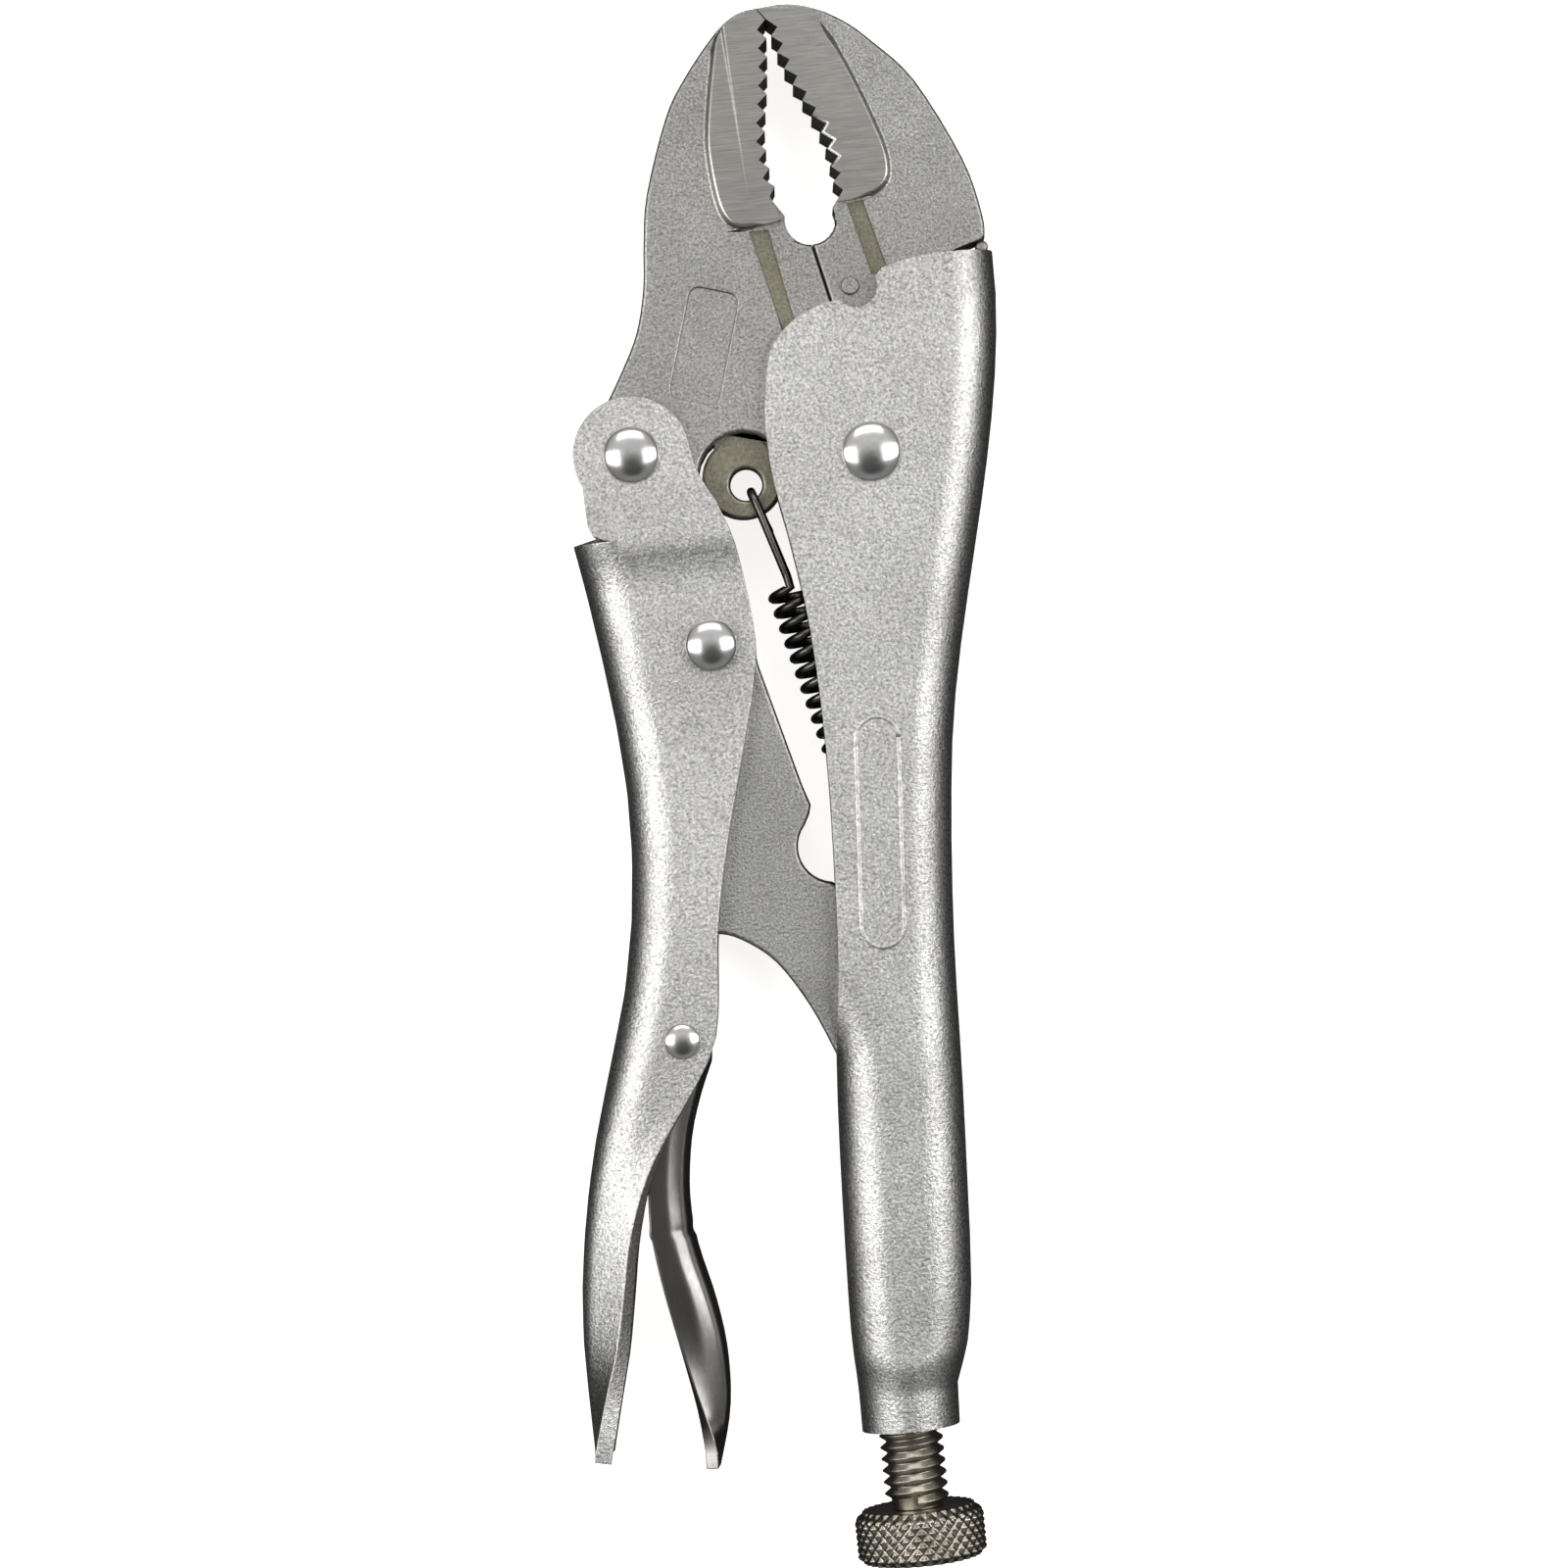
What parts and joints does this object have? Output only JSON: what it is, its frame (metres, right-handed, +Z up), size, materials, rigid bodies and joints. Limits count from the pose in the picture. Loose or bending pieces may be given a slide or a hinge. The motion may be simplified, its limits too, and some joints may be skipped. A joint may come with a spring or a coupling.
{
  "type": "locking pliers",
  "caption": "Curved-jaw locking pliers: welded fixed jaw in a channel handle, toggle lever with release trigger, return spring and knurled adjusting screw.",
  "frame": {"origin": "on the surface the pliers lie on, under the centre of the jaw rivet", "axes": "+Y along the adjusting screw towards the jaw tips, +X towards the back of the fixed handle, +Z up through the thickness"},
  "size_m": [0.0632, 0.1903, 0.016],
  "materials": {
    "nickel_sheet": "shot-blasted steel sheet with satin nickel plating",
    "nickel_forging": "shot-blasted drop forging with satin nickel plating, ground gripping faces",
    "weld_bead": "plated weld bead",
    "polished_rivet": "bright nickel on a headed rivet",
    "release_steel": "polished and plated sheet steel",
    "spring_wire": "dark drawn spring wire",
    "screw_steel": "rolled and knurled steel, warm nickel plating"
  },
  "bodies": {
    "frame": {"fixed_handle": "nickel_sheet", "fixed_jaw": "nickel_forging", "jaw_weld": "weld_bead", "jaw_rivet": "polished_rivet", "return_spring": "spring_wire"},
    "jaw": {"movable_jaw": "nickel_forging"},
    "lever": {"lever_handle": "nickel_sheet", "lever_rivet": "polished_rivet", "link_rivet": "polished_rivet", "release_rivet": "polished_rivet"},
    "link": {"toggle_link": "nickel_sheet"},
    "release": {"release_lever": "release_steel"},
    "screw": {"screw_shank": "screw_steel"},
    "knob": {"screw_knob": "screw_steel"}
  },
  "joints": [
    {"name": "jaw_open", "type": "hinge", "parent": "frame", "child": "jaw", "pos_m": [0, 0, 0.008], "axis": [0, 0, 1], "range_deg": [0, 18], "deforming": ["return_spring"]},
    {"name": "lever_swing", "type": "hinge", "parent": "jaw", "child": "lever", "pos_m": [-0.029, 0.0025, 0.008], "axis": [0, 0, 1], "range_deg": [-65, 0]},
    {"name": "link_fold", "type": "hinge", "parent": "lever", "child": "link", "pos_m": [-0.0217, -0.0214, 0.008], "axis": [0, 0, 1], "range_deg": [0, 70]},
    {"name": "release_press", "type": "hinge", "parent": "lever", "child": "release", "pos_m": [-0.03, -0.0688, 0.008], "axis": [0, 0, 1], "range_deg": [-9, 0]},
    {"name": "screw_travel", "type": "slide", "parent": "frame", "child": "screw", "axis": [0, -1, 0], "range_m": [0, 0.012]},
    {"name": "knob_turn", "type": "hinge", "parent": "screw", "child": "knob", "pos_m": [-0.0072, -0.1286, 0.008], "axis": [0, -1, 0], "range_deg": [0, 3062]}
  ],
  "couplings": [
    {"joint": "lever_swing", "follows": "jaw_open", "ratio": -3.6},
    {"joint": "link_fold", "follows": "jaw_open", "ratio": 3.85},
    {"joint": "knob_turn", "follows": "screw_travel", "rad_per_m": 4452.6}
  ]
}
